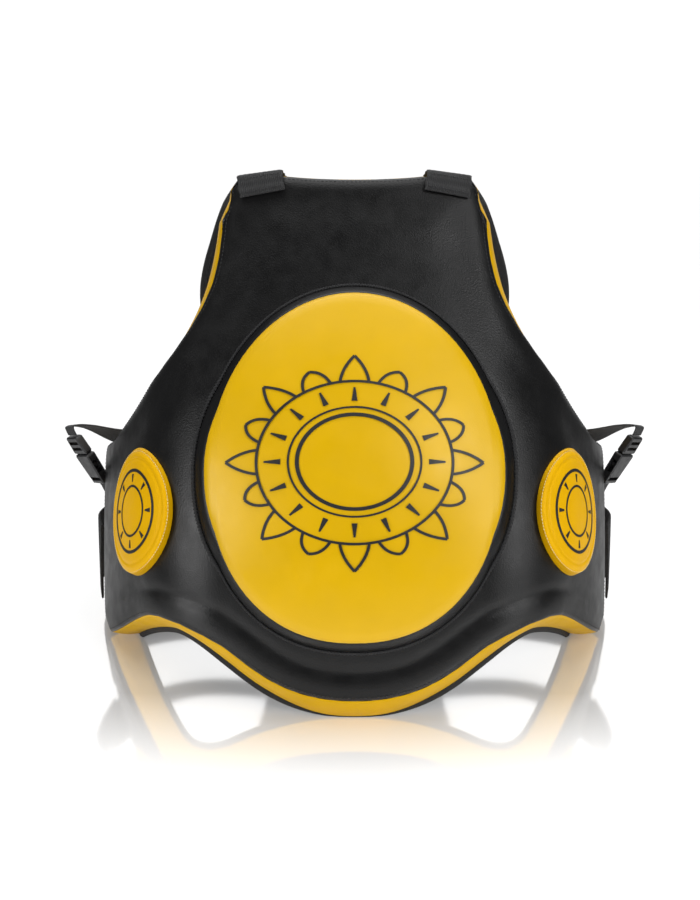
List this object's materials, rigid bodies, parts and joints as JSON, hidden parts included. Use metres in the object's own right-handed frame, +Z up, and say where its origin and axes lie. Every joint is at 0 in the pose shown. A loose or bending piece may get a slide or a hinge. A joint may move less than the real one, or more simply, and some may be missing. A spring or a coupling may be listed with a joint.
{
  "type": "trainer belly pad",
  "caption": "Padded body vest for pad-holding trainers: raised belly target, side targets, shoulder harness, quick-release buckles and a hook-and-loop waist belt.",
  "frame": {"origin": "on the floor, under the middle of the whole object, with the pad standing on its front tip and its two rear corners", "axes": "+Z up; the front faces -Y; +X is to the right in the front view; the two halves mirror each other across X = 0, apart from the belt's overlap"},
  "size_m": [0.6564, 0.3782, 0.5059],
  "materials": {
    "black_leather": "grained synthetic leather, satin",
    "yellow_leather": "smooth synthetic leather, satin",
    "black_fabric": "woven nylon, matt",
    "black_webbing": "ribbed nylon webbing, matt",
    "foam": "closed-cell foam, matt",
    "black_plastic": "moulded acetal, fine matt texture",
    "hook_and_loop": "hook-and-loop pile, matt"
  },
  "bodies": {
    "vest": {"front_cover": "black_leather", "belly_pad_wall": "black_leather", "edge_gusset": "yellow_leather", "belly_pad_cover": "yellow_leather", "side_target_cover_left": "yellow_leather", "side_target_cover_right": "yellow_leather", "lining": "black_fabric", "lining_binding": "black_fabric", "back_yoke": "black_fabric", "shoulder_strap_left": "black_fabric", "shoulder_strap_right": "black_fabric", "belt_right": "black_fabric", "belt_left": "black_fabric", "strap_anchor_left": "black_webbing", "strap_anchor_right": "black_webbing", "buckle_tab_left": "black_webbing", "buckle_tab_right": "black_webbing", "back_foam": "foam", "foam_core": "foam", "belly_pad_foam": "foam", "side_target_foam_left": "foam", "side_target_foam_right": "foam", "buckle_socket_left": "black_plastic", "buckle_socket_right": "black_plastic", "loop_patch": "hook_and_loop"},
    "left_plug": {"buckle_plug_left": "black_plastic", "side_webbing_left": "black_webbing"},
    "left_prong_front": {"buckle_prong_front_left": "black_plastic"},
    "left_prong_rear": {"buckle_prong_rear_left": "black_plastic"},
    "right_plug": {"buckle_plug_right": "black_plastic", "side_webbing_right": "black_webbing"},
    "right_prong_front": {"buckle_prong_front_right": "black_plastic"},
    "right_prong_rear": {"buckle_prong_rear_right": "black_plastic"},
    "belt_flap": {"belt_flap": "black_fabric", "hook_patch": "hook_and_loop"}
  },
  "joints": [
    {"name": "left_buckle_release", "type": "slide", "parent": "vest", "child": "left_plug", "axis": [-0.46, 0, 0.8879], "range_m": [0, 0.026]},
    {"name": "left_prong_front_squeeze", "type": "hinge", "parent": "left_plug", "child": "left_prong_front", "pos_m": [-0.30112, 0.07648, 0.18708], "axis": [0.6783, 0.6453, 0.3514], "range_deg": [0, 8], "stiffness_Nm_per_rad": 0.03},
    {"name": "left_prong_rear_squeeze", "type": "hinge", "parent": "left_plug", "child": "left_prong_rear", "pos_m": [-0.31051, 0.08901, 0.18221], "axis": [-0.6783, -0.6453, -0.3514], "range_deg": [0, 8], "stiffness_Nm_per_rad": 0.03},
    {"name": "right_buckle_release", "type": "slide", "parent": "vest", "child": "right_plug", "axis": [0.46, 0, 0.8879], "range_m": [0, 0.026]},
    {"name": "right_prong_front_squeeze", "type": "hinge", "parent": "right_plug", "child": "right_prong_front", "pos_m": [0.30112, 0.07648, 0.18708], "axis": [0.6783, -0.6453, -0.3514], "range_deg": [0, 8], "stiffness_Nm_per_rad": 0.03},
    {"name": "right_prong_rear_squeeze", "type": "hinge", "parent": "right_plug", "child": "right_prong_rear", "pos_m": [0.31051, 0.08901, 0.18221], "axis": [-0.6783, 0.6453, 0.3514], "range_deg": [0, 8], "stiffness_Nm_per_rad": 0.03},
    {"name": "belt_flap_peel", "type": "hinge", "parent": "vest", "child": "belt_flap", "pos_m": [-0.06155, 0.18726, 0.066], "axis": [0, 0, 1], "range_deg": [0, 100]}
  ]
}
